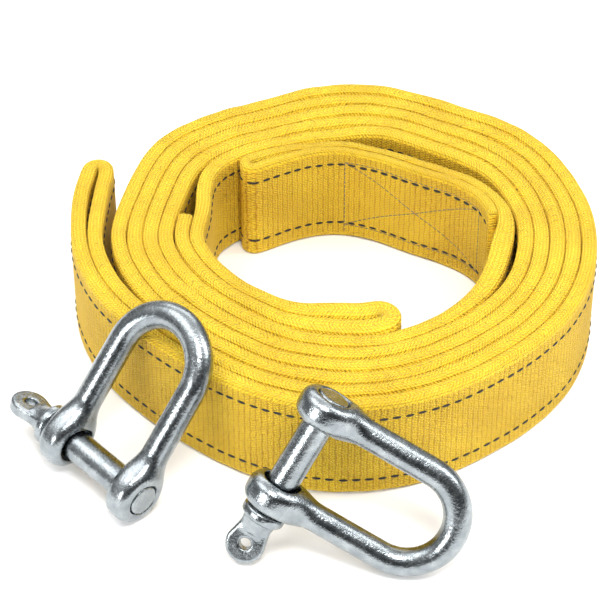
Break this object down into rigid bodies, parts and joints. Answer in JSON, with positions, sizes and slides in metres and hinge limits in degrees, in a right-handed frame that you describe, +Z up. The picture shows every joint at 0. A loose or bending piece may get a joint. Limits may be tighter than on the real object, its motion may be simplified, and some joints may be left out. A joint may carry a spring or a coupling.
{
  "type": "tow strap with dee shackles",
  "caption": "Flat woven tow strap doubled and coiled on edge, with sewn eyes, and two screw-pin dee shackles leaning on the coil.",
  "frame": {"origin": "middle of the footprint, on the floor the coil stands on", "axes": "+Z up, along the webbing's width; -Y towards the side the shackles lean on; +X to the right as seen from that side"},
  "size_m": [0.2386, 0.2498, 0.0688],
  "materials": {
    "webbing": "woven polyester webbing, yellow, with a black tracer dash along each edge",
    "zinc_bow": "bright zinc-plated forged steel",
    "zinc_pin": "bright zinc-plated turned steel"
  },
  "bodies": {
    "coil": {"webbing_strap": "webbing"},
    "left_shackle": {"shackle_bow_left": "zinc_bow"},
    "left_pin": {"shackle_pin_left": "zinc_pin"},
    "right_shackle": {"shackle_bow_right": "zinc_bow"},
    "right_pin": {"shackle_pin_right": "zinc_pin"}
  },
  "joints": [
    {"name": "left_shackle_lift", "type": "slide", "parent": "coil", "child": "left_shackle", "axis": [0, 0, 1], "range_m": [0, 0.15]},
    {"name": "left_pin_draw", "type": "slide", "parent": "left_shackle", "child": "left_pin", "axis": [-0.6959, 0.7169, 0.043], "range_m": [0, 0.058]},
    {"name": "right_shackle_lift", "type": "slide", "parent": "coil", "child": "right_shackle", "axis": [0, 0, 1], "range_m": [0, 0.15]},
    {"name": "right_pin_draw", "type": "slide", "parent": "right_shackle", "child": "right_pin", "axis": [-0.493, -0.335, -0.803], "range_m": [0, 0.058]}
  ]
}
